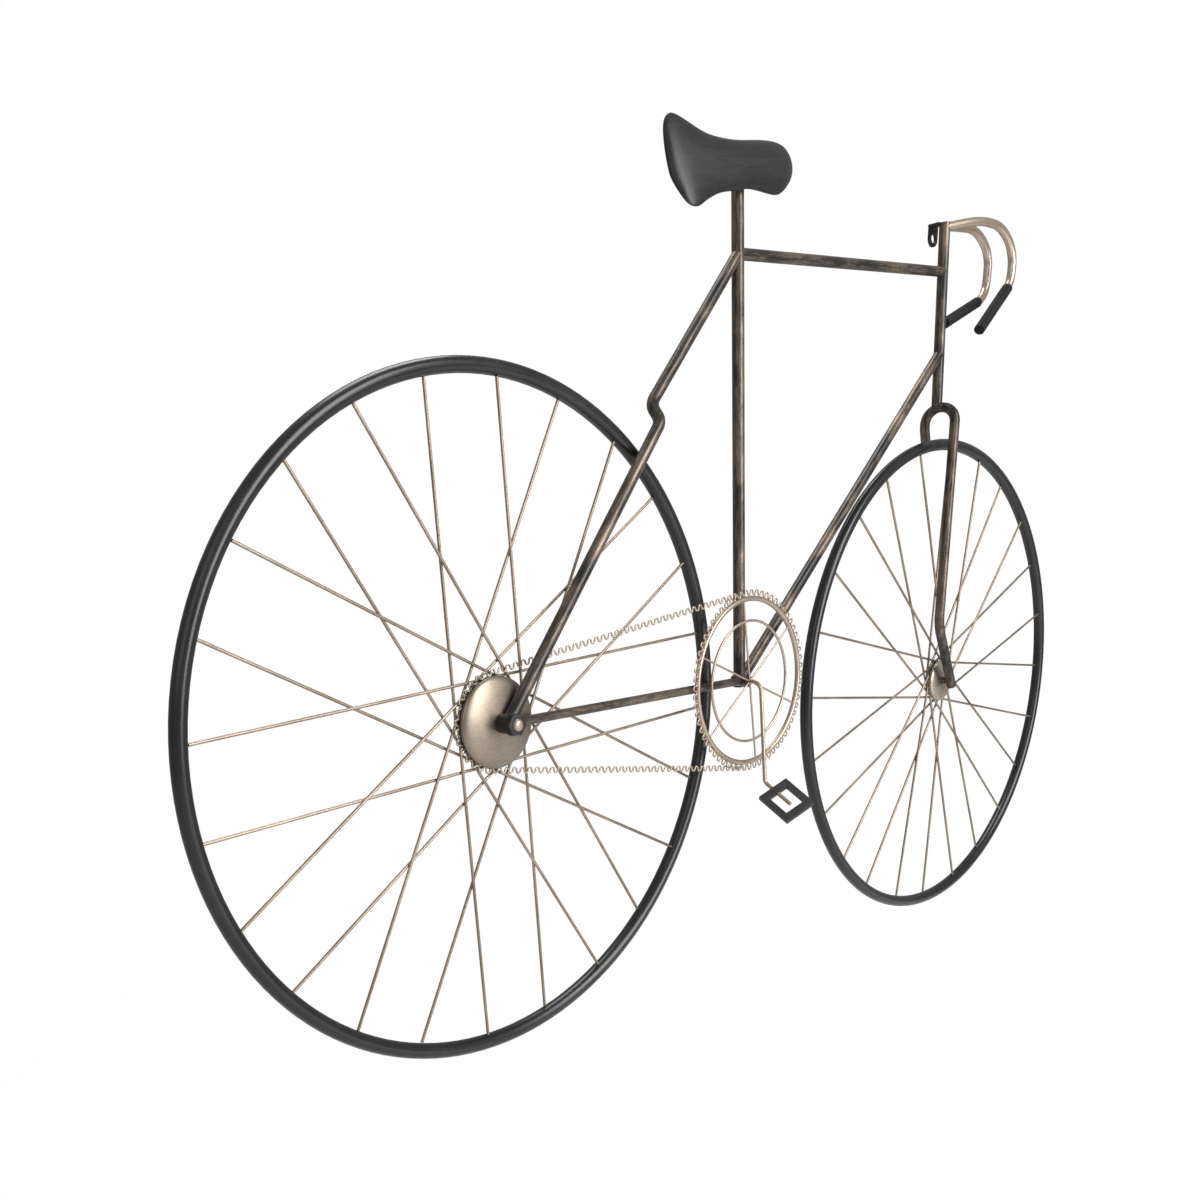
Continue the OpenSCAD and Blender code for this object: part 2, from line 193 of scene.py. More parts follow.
class Shader:
    """One node tree, emptied, with a method that adds any node"""

    def __init__(self, tree):
        self.tree = tree
        tree.nodes.clear()

    def node(self, kind, settings, sockets, output=0):
        made = self.tree.nodes.new(kind)
        for key, value in settings.items():
            setattr(made, key, value)
        for key, value in sockets.items():
            if isinstance(value, Field):
                self.tree.links.new(value.socket, made.inputs[key])
            else:
                made.inputs[key].default_value = value
        return Field(self, made.outputs[output]) if made.outputs else None

    def place(self):
        return self.node("ShaderNodeTexCoord", {}, {}, "Object")

    def drawn(self, long, wide, lean):
        """Coordinates for a pattern drawn out along a rod that leans from level in the wheels' plane"""
        turn = (0, -math.radians(lean), 0)
        sockets = {"Vector": self.place(), "Scale": (long, wide, wide), "Rotation": turn}
        return self.node("ShaderNodeMapping", {"vector_type": "TEXTURE"}, sockets)

    def noise(self, scale, detail, rough, warp=0.0, vector=None):
        sockets = {
            "Vector": vector or self.place(),
            "Scale": scale,
            "Detail": detail,
            "Roughness": rough,
            "Distortion": warp,
        }
        return self.node("ShaderNodeTexNoise", {"noise_dimensions": "3D"}, sockets)

    def blend(self, mask, low, high):
        """Colour low where mask is 0, high where it is 1"""
        sockets = {MIX_FACTOR: mask, MIX_LOW: low, MIX_HIGH: high}
        return self.node("ShaderNodeMix", {"data_type": "RGBA"}, sockets, MIX_COLOUR)

    def shades(self, mask, colour, dark, light):
        """One colour, times dark where mask is 0 and times light where it is 1"""
        return self.blend(mask, tone(colour, dark), tone(colour, light))

    def bump(self, height, strength, distance):
        sockets = {"Height": height, "Strength": strength, "Distance": distance}
        return self.node("ShaderNodeBump", {}, sockets)

    def surface(self, **sockets):
        named = {key.replace("_", " "): value for key, value in sockets.items()}
        shade = self.node("ShaderNodeBsdfPrincipled", {}, named)
        self.node("ShaderNodeOutputMaterial", {}, {"Surface": shade})


def new_material(name):
    material = bpy.data.materials.new(name)
    material.use_nodes = True
    return material, Shader(material.node_tree)


def tone(colour, gain):
    """A colour made lighter or darker, with full alpha"""
    return (*(channel * gain for channel in colour), 1.0)


# Finishes

def rubbed_metal(finish, name, lean):
    """Black lacquer rubbed through to brown bronze in streaks along the rod"""
    material, shader = new_material(name)
    streak = shader.noise(1.0, detail=6, rough=0.62, warp=0.5, vector=shader.drawn(0.030, 0.0042, lean))
    hair = shader.noise(1.0, detail=3, rough=0.6, vector=shader.drawn(0.012, 0.0007, lean))
    patch = shader.noise(26, detail=4, rough=0.6)
    rubbed = (streak * 0.52 + patch * 0.42 + hair * 0.10).between(0.43, 0.65)
    ground = shader.shades(hair.between(0.35, 0.7), finish.frame_dark, dark=0.75, light=1.35)
    bronze = shader.shades(hair.between(0.3, 0.7), finish.frame_brown, dark=0.72, light=1.15)
    shader.surface(
        Base_Color=shader.blend(rubbed, ground, bronze),
        Metallic=rubbed * 0.6 + 0.15,
        Roughness=hair * 0.18 + rubbed * 0.08 + 0.22,
        Normal=shader.bump(streak * 0.7 + hair * 0.3, strength=0.10, distance=0.0004),
    )
    return material


def champagne_metal(finish, name, gain, dull):
    """Champagne bronze, satin with faint clouds"""
    material, shader = new_material(name)
    grain = shader.noise(700, detail=2, rough=0.5)
    cloud = shader.noise(38, detail=3, rough=0.5)
    mottle = (cloud * 0.7 + grain * 0.3).between(0.3, 0.75)
    shader.surface(
        Base_Color=shader.shades(mottle, finish.champagne, dark=gain * 0.92, light=gain * 1.06),
        Metallic=0.9,
        Roughness=grain * 0.01 + cloud * 0.05 + dull,
    )
    return material


def spoke_metal(finish):
    """The same bronze on the spokes, dulled and darker"""
    material, shader = new_material("spoke_metal")
    grain = shader.noise(500, detail=3, rough=0.6)
    stain = shader.noise(22, detail=4, rough=0.6)
    mottle = (stain * 0.75 + grain * 0.25).between(0.35, 0.7)
    shader.surface(
        Base_Color=shader.shades(mottle, finish.champagne, dark=0.42, light=0.74),
        Metallic=0.85,
        Roughness=grain * 0.14 + stain * 0.12 + 0.28,
    )
    return material


def hub_metal(finish, name, gain):
    """Champagne bronze brushed across the cap, with a soft sheen"""
    material, shader = new_material(name)
    hair = shader.noise(1.0, detail=4, rough=0.65, vector=shader.drawn(0.009, 0.0004, 8))
    cloud = shader.noise(60, detail=4, rough=0.55)
    brushed = (hair * 0.7 + cloud * 0.3).between(0.32, 0.68)
    # gain lightens the whole colour; on the front cap this is painted light, standing in for light the cap
    # does not get
    shader.surface(
        Base_Color=shader.shades(brushed, finish.champagne, dark=gain * 0.36, light=gain * 0.56),
        Metallic=0.85,
        Roughness=hair * 0.16 + cloud * 0.08 + 0.23,
        Coat_Weight=cloud * 0.3 + 0.15,
        Coat_Roughness=0.24,
        Normal=shader.bump(hair, strength=0.16, distance=0.00015),
    )
    return material


def tyre_black(finish):
    """Satin black tube with faint scuffs"""
    material, shader = new_material("tyre_black")
    grain = shader.noise(900, detail=3, rough=0.6)
    scuff = shader.noise(24, detail=5, rough=0.6, warp=0.4)
    worn = (scuff * 0.7 + grain * 0.3).between(0.35, 0.75)
    shader.surface(
        Base_Color=shader.shades(worn, finish.tyre, dark=0.75, light=1.5),
        Roughness=scuff * 0.12 + grain * 0.06 + 0.18,
        Normal=shader.bump(grain, strength=0.06, distance=0.0002),
    )
    return material


def grip_black(finish):
    """Matt foam sleeve with a pebbled skin"""
    material, shader = new_material("grip_black")
    pebble = shader.noise(1300, detail=4, rough=0.65)
    cloud = shader.noise(90, detail=3, rough=0.5)
    mottle = (pebble * 0.6 + cloud * 0.4).between(0.3, 0.75)
    shader.surface(
        Base_Color=shader.shades(mottle, finish.grip, dark=0.6, light=1.7),
        Roughness=pebble * 0.25 + 0.50,
        Specular_IOR_Level=0.28,
        Normal=shader.bump(pebble, strength=0.45, distance=0.0004),
    )
    return material


def fitting_black(finish):
    """Satin black paint on small flat fittings"""
    material, shader = new_material("fitting_black")
    grain = shader.noise(700, detail=3, rough=0.6)
    wear = shader.noise(120, detail=5, rough=0.62)
    shader.surface(
        Base_Color=shader.shades(wear.between(0.45, 0.75), finish.fitting, dark=0.8, light=1.9),
        Metallic=0.2,
        Roughness=grain * 0.16 + wear * 0.14 + 0.30,
        Normal=shader.bump(grain, strength=0.15, distance=0.0002),
    )
    return material


def charcoal_metal(finish):
    """Dark metal brushed along the saddle"""
    material, shader = new_material("charcoal_metal")
    hair = shader.noise(1.0, detail=4, rough=0.65, vector=shader.drawn(0.030, 0.0006, SADDLE_TILT))
    band = shader.noise(1.0, detail=4, rough=0.6, warp=0.3, vector=shader.drawn(0.045, 0.005, SADDLE_TILT))
    brushed = (hair * 0.6 + band * 0.4).between(0.3, 0.72)
    shader.surface(
        Base_Color=shader.shades(brushed, finish.saddle, dark=0.7, light=1.35),
        Metallic=0.5,
        Roughness=hair * 0.14 + band * 0.10 + 0.26,
        Normal=shader.bump(hair, strength=0.12, distance=0.0002),
    )
    return material


def coat(piece, material):
    """Leaves a piece with this one material"""
    piece.data.materials.clear()
    piece.data.materials.append(material)


def paint(names, material):
    for name in names:
        coat(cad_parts[name], material)


def deselect():
    if bpy.context.object and bpy.context.object.mode != "OBJECT":
        bpy.ops.object.mode_set(mode="OBJECT")
    bpy.ops.object.select_all(action="DESELECT")


# Chain path, the same as the solid's: round the hub, along two runs, round the chainring

RING = Vector((-0.271, -0.026, -0.370))
HUB_LOOP = 0.0310
RING_LOOP = 0.06671
HUB_PLANE = -0.0142

# Share of a run that stays level with the hub's groove
LEVEL_RUN = 0.06

# The teeth's wire lies a little in front of the chain and ends this far round from it
TEETH_SET = Vector((0, -0.0012, 0))
TEETH_LOOP = RING_LOOP - 0.0001
TEETH_GAP = math.radians(1)

# Share of a wave by which its sides lean out, which makes its loops round
WAVE_LEAN = 0.055


def outward(angle):
    """Direction at an angle from level in the wheels' plane"""
    return Vector((math.cos(angle), 0, math.sin(angle)))


class ChainPath:
    """Point and outward direction at a length along the chain"""

    def __init__(self):
        across = RING - REAR_AXLE
        self.span = math.hypot(across.x, across.z)
        self.lift = math.atan2(across.z, across.x)
        self.wrap = math.acos(-(RING_LOOP - HUB_LOOP) / self.span)
        self.run = math.sqrt(self.span ** 2 - (RING_LOOP - HUB_LOOP) ** 2)
        self.hub_arc = (2 * math.pi - 2 * self.wrap) * HUB_LOOP
        self.ring_arc = 2 * self.wrap * RING_LOOP
        self.length = 2 * self.run + self.hub_arc + self.ring_arc
        self.hub = Vector((REAR_AXLE.x, HUB_PLANE, REAR_AXLE.z))

    def at(self, along):
        along %= self.length
        if along < self.hub_arc:
            out = outward(self.lift + self.wrap + along / HUB_LOOP)
            return self.hub + out * HUB_LOOP, out
        along -= self.hub_arc
        if along < self.run:
            out = outward(self.lift - self.wrap)
            return self.on_run(out, along / self.run), out
        along -= self.run
        if along < self.ring_arc:
            out = outward(self.lift - self.wrap + along / RING_LOOP)
            return RING + out * RING_LOOP, out
        along -= self.ring_arc
        out = outward(self.lift + self.wrap)
        return self.on_run(out, 1 - along / self.run), out

    def on_run(self, out, share):
        """Point on a straight run, level with the hub's groove at first"""
        point = (self.hub + out * HUB_LOOP).lerp(RING + out * RING_LOOP, share)
        point.y = HUB_PLANE + (RING.y - HUB_PLANE) * max(0, (share - LEVEL_RUN) / (1 - LEVEL_RUN))
        return point


def wave_points(locate, length, sizes, closed):
    """Points of a wire that swings to both sides of a path in round loops"""
    waves = round(length / sizes.wave_long)
    pitch = length / waves
    points = []
    count = waves * sizes.wave_steps + (0 if closed else 1)
    for step in range(count):
        phase = 2 * math.pi * step / sizes.wave_steps
        along = pitch * step / sizes.wave_steps - WAVE_LEAN * pitch * math.sin(2 * phase)
        middle, out = locate(along)
        points.append(middle + out * sizes.wave_half * math.sin(phase))
    return points


def wire_piece(name, points, radius, closed, material, fine=2):
    """A round wire through the points, made a mesh; fine sets how many sides it has"""
    deselect()
    bpy.ops.curve.primitive_nurbs_path_add(enter_editmode=False, location=(0, 0, 0))
    wire = bpy.context.object
    wire.name = name
    wire.data.splines.clear()
    spline = wire.data.splines.new("POLY")
    spline.points.add(len(points) - 1)
    for point, place in zip(spline.points, points):
        point.co = (*place, 1)
    spline.use_cyclic_u = closed
    spline.use_smooth = True
    wire.data.dimensions = "3D"
    wire.data.twist_mode = "Z_UP" if closed else "MINIMUM"
    wire.data.bevel_depth = radius
    wire.data.bevel_resolution = fine
    wire.data.use_fill_caps = not closed
    bpy.ops.object.convert(target="MESH")
    bpy.ops.object.shade_smooth()
    wire = bpy.context.object
    coat(wire, material)
    return wire


# Handlebar sides: corners in millimetres from the front hanging hole, and the radius of each bend

BAR_SIDES = (
    (
        ((-1.5, -11.8, 6.5), (36, -23, 17), (78, -23, 20),
         (103.5, -23, 1.5), (100.5, -23, -25.1), (52.4, -23, -69.5)),
        (100, 45, 25, 20),
    ),
    (
        ((-1.5, -10.2, 6.5), (36, 1, 17), (80, 1, 23),
         (105, 1, 5.5), (103.5, 1, -31.3), (35.2, 1, -63.5)),
        (100, 45, 23, 24),
    ),
)
BEND_STEPS = 16
BAR_FINE = 7


def bent_path(corners, radii):
    """Points along straight legs joined by round bends"""
    corners = [Vector(corner) * MM for corner in corners]
    points = [corners[0]]
    for before, corner, after, radius in zip(corners, corners[1:], corners[2:], radii):
        ahead = (corner - before).normalized()
        away = (after - corner).normalized()
        angle = ahead.angle(away)
        inward = (away - ahead * ahead.dot(away)).normalized()
        start = corner - ahead * radius * MM * math.tan(angle / 2)
        for step in range(BEND_STEPS + 1):
            turn = angle * step / BEND_STEPS
            points.append(start + (ahead * math.sin(turn) + inward * (1 - math.cos(turn))) * radius * MM)
    return points + [corners[-1]]


# Saddle sections from tail to nose: place, lower edge, upper edge, crown, underside, height of the edge

SADDLE_SECTIONS = (
    (-65.0, -3.1, 2.1, 1.0, 0.8, -2.0),
    (-64.2, -7.4, 9.0, 1.9, 1.6, -1.7),
    (-62.5, -12.6, 18.9, 2.6, 2.4, -1.2),
    (-60.0, -19.4, 29.3, 3.0, 3.2, -0.4),
    (-57.0, -22.7, 35.0, 3.1, 4.0, 0.3),
    (-53.0, -24.0, 38.2, 3.4, 4.8, 0.8),
    (-48.0, -23.4, 38.8, 3.9, 5.2, 1.0),
    (-39.1, -19.8, 35.2, 5.0, 5.5, 0.8),
    (-21.3, -15.0, 25.8, 6.8, 5.0, 0.4),
    (-4.2, -14.2, 21.7, 7.7, 5.0, 0.7),
    (10.9, -13.4, 20.0, 8.1, 5.0, 1.1),
    (27.0, -16.0, 20.2, 9.0, 5.0, 0.7),
    (44.5, -18.1, 20.3, 9.6, 5.0, 0.0),
    (58.7, -11.5, 18.2, 8.0, 4.5, -0.1),
    (67.1, -4.4, 14.1, 4.9, 3.0, -1.1),
    (71.3, 2.5, 7.9, 1.5, 1.5, -1.7),
)
SADDLE_RINGS = 32
SADDLE_POINTS = 40
SADDLE_SMOOTHING = 2

# The saddle tilts nose up in the wheels' plane and faces the viewer, both in degrees
SADDLE_TILT = 13
SADDLE_FACING = 75
SADDLE_PLACE = (
    Matrix.Translation((-0.305, -0.018, -0.0165))
    @ Matrix.Rotation(math.radians(-SADDLE_TILT), 4, "Y")
    @ Matrix.Rotation(math.radians(SADDLE_FACING), 4, "X")
)

# Points closer than this to a section's plane or edge count as on it
ON_SECTION = 0.01 * MM


def smooth_step(share, start, start_slope, end, end_slope):
    """Value part of the way from start to end, with a slope given at each"""
    return (
        (2 * share ** 3 - 3 * share ** 2 + 1) * start
        + (share ** 3 - 2 * share ** 2 + share) * start_slope
        + (-2 * share ** 3 + 3 * share ** 2) * end
        + (share ** 3 - share ** 2) * end_slope
    )


def section_at(place):
    """Smooth section values at a place along the saddle"""
    rows = SADDLE_SECTIONS
    first = 0
    while first < len(rows) - 2 and place > rows[first + 1][0]:
        first += 1
    here, there = rows[first], rows[first + 1]
    before, after = rows[max(first - 1, 0)], rows[min(first + 2, len(rows) - 1)]
    gap = there[0] - here[0]
    share = min(max((place - here[0]) / gap, 0), 1)
    values = []
    for column in range(1, len(here)):
        start_slope = (there[column] - before[column]) / (there[0] - before[0]) * gap
        end_slope = (after[column] - here[column]) / (after[0] - here[0]) * gap
        values.append(smooth_step(share, here[column], start_slope, there[column], end_slope))
    return values


def pick(piece, wanted):
    """Selects the points of a piece in edit mode for which wanted is true"""
    points = bmesh.from_edit_mesh(piece.data)
    for vertex in points.verts:
        vertex.select_set(wanted(vertex.co))
    points.select_flush_mode()
    bmesh.update_edit_mesh(piece.data)


def saddle_ring(piece, along):
    """Adds a round section, then flattens its halves to the crown and to the underside"""
    low, high, crown, under, edge = (value * MM for value in section_at(along))
    half = (high - low) / 2
    place = Vector((along * MM, (low + high) / 2, edge))
    bpy.ops.mesh.primitive_circle_add(
        vertices=SADDLE_POINTS, radius=half, location=place, rotation=(0, math.pi / 2, 0))
    for up, height in ((1, crown), (-1, under)):
        pick(piece, lambda co: abs(co.x - place.x) < ON_SECTION and (co.z - edge) * up > ON_SECTION)
        bpy.ops.transform.resize(value=(1, 1, height / half), center_override=place)


# Hub profiles in millimetres, as distance from the axle and out from the wheel's middle to the viewer

# Each row: wheel, lightening of its metal (painted light on the front cap), axle, radius of cap and drum,
# back and crown of the cap, bore
HUBS = (
    ("rear", 1.0, REAR_AXLE, 29.4, 26.65, 4.1, 11.4, 4.06),
    ("front", 1.6, FRONT_AXLE, 19.2, 15.65, 2.3, 7.4, 3.06),
)
DRUM_BACK = -2.6
DRUM_BEVEL = 0.5

# Corner behind the cap's rim, as steps in from the rim and out from the cap's back
RIM_CORNER = ((1.2, 0), (0.3, 0.4), (0, 1))

# The cap's curve starts this far out from the cap's back, and its points stop short of the bore
CAP_START = 1.9
CAP_SWEEP = math.radians(88)
CAP_STEPS = 29
BORE_MARGIN = 0.5

# Steps of a full turn, and the gap within which points are joined after it
TURN_STEPS = 120
WELD_GAP = 0.005 * MM


def hub_profile(rim, drum, seat, crown, bore):
    """Closed outline of a hub: short drum, seat of the cap, rounded cap to the viewer"""
    outline = [(bore, DRUM_BACK), (drum - DRUM_BEVEL, DRUM_BACK)]
    outline += [(drum, DRUM_BACK + DRUM_BEVEL), (drum, seat)]
    outline += [(rim - inward, seat + out) for inward, out in RIM_CORNER]
    base = seat + CAP_START
    for step in range(CAP_STEPS + 1):
        angle = CAP_SWEEP * step / CAP_STEPS
        if rim * math.cos(angle) > bore + BORE_MARGIN:
            outline.append((rim * math.cos(angle), base + (crown - base) * math.sin(angle)))
    return outline + [(bore, crown), (bore, DRUM_BACK)]


def turned(name, centre, outline):
    """A profile drawn out point by point and spun about an axle"""
    deselect()
    bpy.ops.mesh.primitive_plane_add(size=MM, location=(0, 0, 0), rotation=(0, 0, 0))
    piece = bpy.context.object
    piece.name = name
    points = [centre + Vector((radius, -out, 0)) * MM for radius, out in outline]
    bpy.ops.object.mode_set(mode="EDIT")
    bpy.ops.mesh.select_all(action="SELECT")
    bpy.ops.mesh.merge(type="CENTER")
    bpy.ops.transform.translate(value=points[0])
    for here, there in zip(points, points[1:]):
        bpy.ops.mesh.extrude_vertices_move(TRANSFORM_OT_translate={"value": there - here})
    bpy.ops.mesh.select_all(action="SELECT")
    bpy.ops.mesh.spin(steps=TURN_STEPS, angle=2 * math.pi, center=centre, axis=(0, 1, 0))
    bpy.ops.mesh.select_all(action="SELECT")
    bpy.ops.mesh.remove_doubles(threshold=WELD_GAP)
    bpy.ops.mesh.normals_make_consistent(inside=False)
    bpy.ops.object.mode_set(mode="OBJECT")
    bpy.ops.object.shade_smooth_by_angle(angle=SHARP_EDGE)
    return piece


# Rear nut: half its width over the corners, its faces along Y, and the bevel of its edges

NUT_RADIUS = 7.6 * MM
NUT_FACE = -0.0363
NUT_BACK = -0.0313
NUT_BEVEL = 0.55 * MM


# Stage: place of the floor, point that the lamps face, and light of the air

FLOOR_SIZE = 14
FLOOR_X = -0.25
FLOOR_WHITE = (0.92, 0.92, 0.92, 1)
PURE_WHITE = (1, 1, 1, 1)

# Distances from the floor's middle between which its faint shade fades, and that shade's strength
SHADE_NEAR = 0.5
SHADE_FAR = 2.2
SHADE_SHARE = 0.03

AIR_LIGHT = 0.28
AIR_IN_GLOSS = 0.15
LAMP_AIM = Vector((-0.24, -0.01, -0.28))

# Each row: name, place, width, height, watts
LAMPS = (
    ("key", (0.14, -2.1, 0.5), 1.0, 2.2, 58),
    ("side", (-2.0, -0.9, 0.5), 1.2, 1.2, 4),
    ("top", (-0.1, 0.5, 1.5), 1.0, 1.0, 17),
)
SENSOR_WIDTH = 36
NEAR_CLIP = 0.01


def stage_floor(low):
    """White floor, all but plain to the camera, with a faint shade under the wheels"""
    bpy.ops.mesh.primitive_plane_add(size=FLOOR_SIZE, location=(FLOOR_X, 0, low))
    floor = bpy.context.object
    floor.name = "studio_floor"
    material, shader = new_material("studio_white")
    seen = shader.node("ShaderNodeLightPath", {}, {}, "Is Camera Ray")
    reach = shader.node("ShaderNodeVectorMath", {"operation": "LENGTH"}, {0: shader.place()}, "Value")
    shown = seen * (reach.between(SHADE_NEAR, SHADE_FAR) * SHADE_SHARE + (1 - SHADE_SHARE))
    matt = shader.node("ShaderNodeBsdfDiffuse", {}, {"Color": FLOOR_WHITE})
    plain = shader.node("ShaderNodeEmission", {}, {"Color": PURE_WHITE, "Strength": 1.0})
    mixed = shader.node("ShaderNodeMixShader", {}, {0: shown, 1: matt, 2: plain})
    shader.node("ShaderNodeOutputMaterial", {}, {"Surface": mixed})
    floor.data.materials.append(material)


def stage_air(scene):
    """White behind the object, and a soft even light on it"""
    world = bpy.data.worlds.new("studio_air")
    world.use_nodes = True
    scene.world = world
    shader = Shader(world.node_tree)
    camera_ray = shader.node("ShaderNodeLightPath", {}, {}, "Is Camera Ray")
    glossy_ray = shader.node("ShaderNodeLightPath", {}, {}, "Is Glossy Ray")
    through_ray = shader.node("ShaderNodeLightPath", {}, {}, "Is Transmission Ray")
    white = (camera_ray + through_ray + glossy_ray * AIR_IN_GLOSS).clip()
    soft = shader.node("ShaderNodeBackground", {}, {"Color": PURE_WHITE, "Strength": AIR_LIGHT})
    plain = shader.node("ShaderNodeBackground", {}, {"Color": PURE_WHITE, "Strength": 1.0})
    mixed = shader.node("ShaderNodeMixShader", {}, {0: white, 1: soft, 2: plain})
    shader.node("ShaderNodeOutputWorld", {}, {"Surface": mixed})


def stage_lamps():
    for name, place, width, height, watts in LAMPS:
        deselect()
        bpy.ops.object.light_add(type="AREA", location=place)
        lamp = bpy.context.object
        lamp.name = name + "_lamp"
        lamp.data.shape = "RECTANGLE"
        lamp.data.size = width
        lamp.data.size_y = height
        lamp.data.energy = watts
        lamp.rotation_euler = (LAMP_AIM - Vector(place)).to_track_quat("-Z", "Y").to_euler()


def stage_camera(scene):
    stage = scene.bicycle_stage
    bpy.ops.object.camera_add(location=stage.eye)
    camera = bpy.context.object
    camera.name = "photo_camera"
    camera.rotation_euler = (math.pi / 2 - stage.dip, 0, -stage.heading)
    camera.data.sensor_width = SENSOR_WIDTH
    camera.data.lens = stage.lens
    camera.data.shift_x, camera.data.shift_y = stage.shift
    camera.data.clip_start = NEAR_CLIP
    scene.camera = camera


# Operators

class BICYCLE_OT_frame_finish(bpy.types.Operator):
    """Gives the rods of the frame their rubbed finish"""
    bl_idname = "bicycle.frame_finish"
    bl_label = "Rubbed frame"

    def execute(self, context):
        for name, lean, nodes in RUBBED_NODES:
            paint(nodes, rubbed_metal(context.scene.bicycle_finish, name, lean))
        return {"FINISHED"}


class BICYCLE_OT_champagne_finish(bpy.types.Operator):
    """Gives chainring, crank, rear bolt and spokes their champagne metal"""
    bl_idname = "bicycle.champagne_finish"
    bl_label = "Champagne metal"

    def execute(self, context):
        finish = context.scene.bicycle_finish
        paint(CHAMPAGNE_NODES, champagne_metal(finish, "champagne_metal", gain=0.85, dull=0.34))
        paint(SPOKE_NODES, spoke_metal(finish))
        return {"FINISHED"}


class BICYCLE_OT_black_finish(bpy.types.Operator):
    """Gives tyres, grips and fittings their blacks"""
    bl_idname = "bicycle.black_finish"
    bl_label = "Black pieces"

    def execute(self, context):
        finish = context.scene.bicycle_finish
        paint(TYRE_NODES, tyre_black(finish))
        paint(GRIP_NODES, grip_black(finish))
        paint(BLACK_NODES, fitting_black(finish))
        return {"FINISHED"}


class BICYCLE_OT_chain(bpy.types.Operator):
    """Bends the chain and the chainring's teeth in round wire"""
    bl_idname = "bicycle.chain"
    bl_label = "Chain wire"

    def execute(self, context):
        sizes = context.scene.bicycle_sizes
        metal = bpy.data.materials["champagne_metal"]
        path = ChainPath()
        loop_points = wave_points(path.at, path.length, sizes, True)
        loop = wire_piece("chain_wire", loop_points, sizes.wire_radius, True, metal)
        first = path.lift + path.wrap + TEETH_GAP
        turn = 2 * math.pi - 2 * path.wrap - 2 * TEETH_GAP

        def on_ring(along):
            out = outward(first + along / TEETH_LOOP)
            return RING + TEETH_SET + out * TEETH_LOOP, out

        teeth_points = wave_points(on_ring, turn * TEETH_LOOP, sizes, False)
        teeth = wire_piece("ring_teeth_wire", teeth_points, sizes.wire_radius, False, metal)
        for piece, node in ((loop, "chain"), (teeth, "ring_teeth")):
            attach(piece, "frame")
            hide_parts(node)
        return {"FINISHED"}


class BICYCLE_OT_handlebar(bpy.types.Operator):
    """Bends the two sides of the handlebar in round tube"""
    bl_idname = "bicycle.handlebar"
    bl_label = "Handlebar"

    def execute(self, context):
        radius = context.scene.bicycle_sizes.bar_radius
        metal = champagne_metal(context.scene.bicycle_finish, "bar_metal", gain=1.06, dull=0.26)
        sides = []
        for corners, radii in BAR_SIDES:
            points = bent_path(corners, radii)
            sides.append(wire_piece("handlebar_bent", points, radius, False, metal, BAR_FINE))
        deselect()
        for side in sides:
            side.select_set(True)
        bpy.context.view_layer.objects.active = sides[0]
        bpy.ops.object.join()
        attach(sides[0], "frame")
        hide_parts("handlebar")
        return {"FINISHED"}


class BICYCLE_OT_hubs(bpy.types.Operator):
    """Turns the two hubs, each with a smooth cap"""
    bl_idname = "bicycle.hubs"
    bl_label = "Hubs"

    def execute(self, context):
        finish = context.scene.bicycle_finish
        for side, gain, centre, rim, drum, seat, crown, bore in HUBS:
            hub = turned(side + "_hub_turned", centre, hub_profile(rim, drum, seat, crown, bore))
            # The front cap's metal is painted lighter by its gain, to make up for the shade it sits in
            coat(hub, hub_metal(finish, side + "_hub_metal", gain))
            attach(hub, side + "_wheel")
            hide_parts(side + "_hub")
        return {"FINISHED"}


class BICYCLE_OT_nut(bpy.types.Operator):
    """Cuts the rear nut from six-sided bar, with its edges bevelled"""
    bl_idname = "bicycle.nut"
    bl_label = "Rear nut"

    def execute(self, context):
        deselect()
        middle = (REAR_AXLE.x, (NUT_FACE + NUT_BACK) / 2, REAR_AXLE.z)
        bpy.ops.mesh.primitive_cylinder_add(
            vertices=6, radius=NUT_RADIUS, depth=NUT_BACK - NUT_FACE,
            location=middle, rotation=(math.pi / 2, math.pi / 6, 0))
        nut = bpy.context.object
        nut.name = "rear_nut_turned"
        bpy.ops.object.transform_apply(location=True, rotation=True, scale=True)
        bpy.ops.object.mode_set(mode="EDIT")
        bpy.ops.mesh.select_all(action="SELECT")
        bpy.ops.mesh.bevel(offset=NUT_BEVEL, segments=3, profile=0.6)
        bpy.ops.mesh.normals_make_consistent(inside=False)
        bpy.ops.object.mode_set(mode="OBJECT")
        bpy.ops.object.shade_smooth_by_angle(angle=SHARP_EDGE)
        coat(nut, bpy.data.materials["fitting_black"])
        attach(nut, "frame")
        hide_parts("rear_nut")
        return {"FINISHED"}


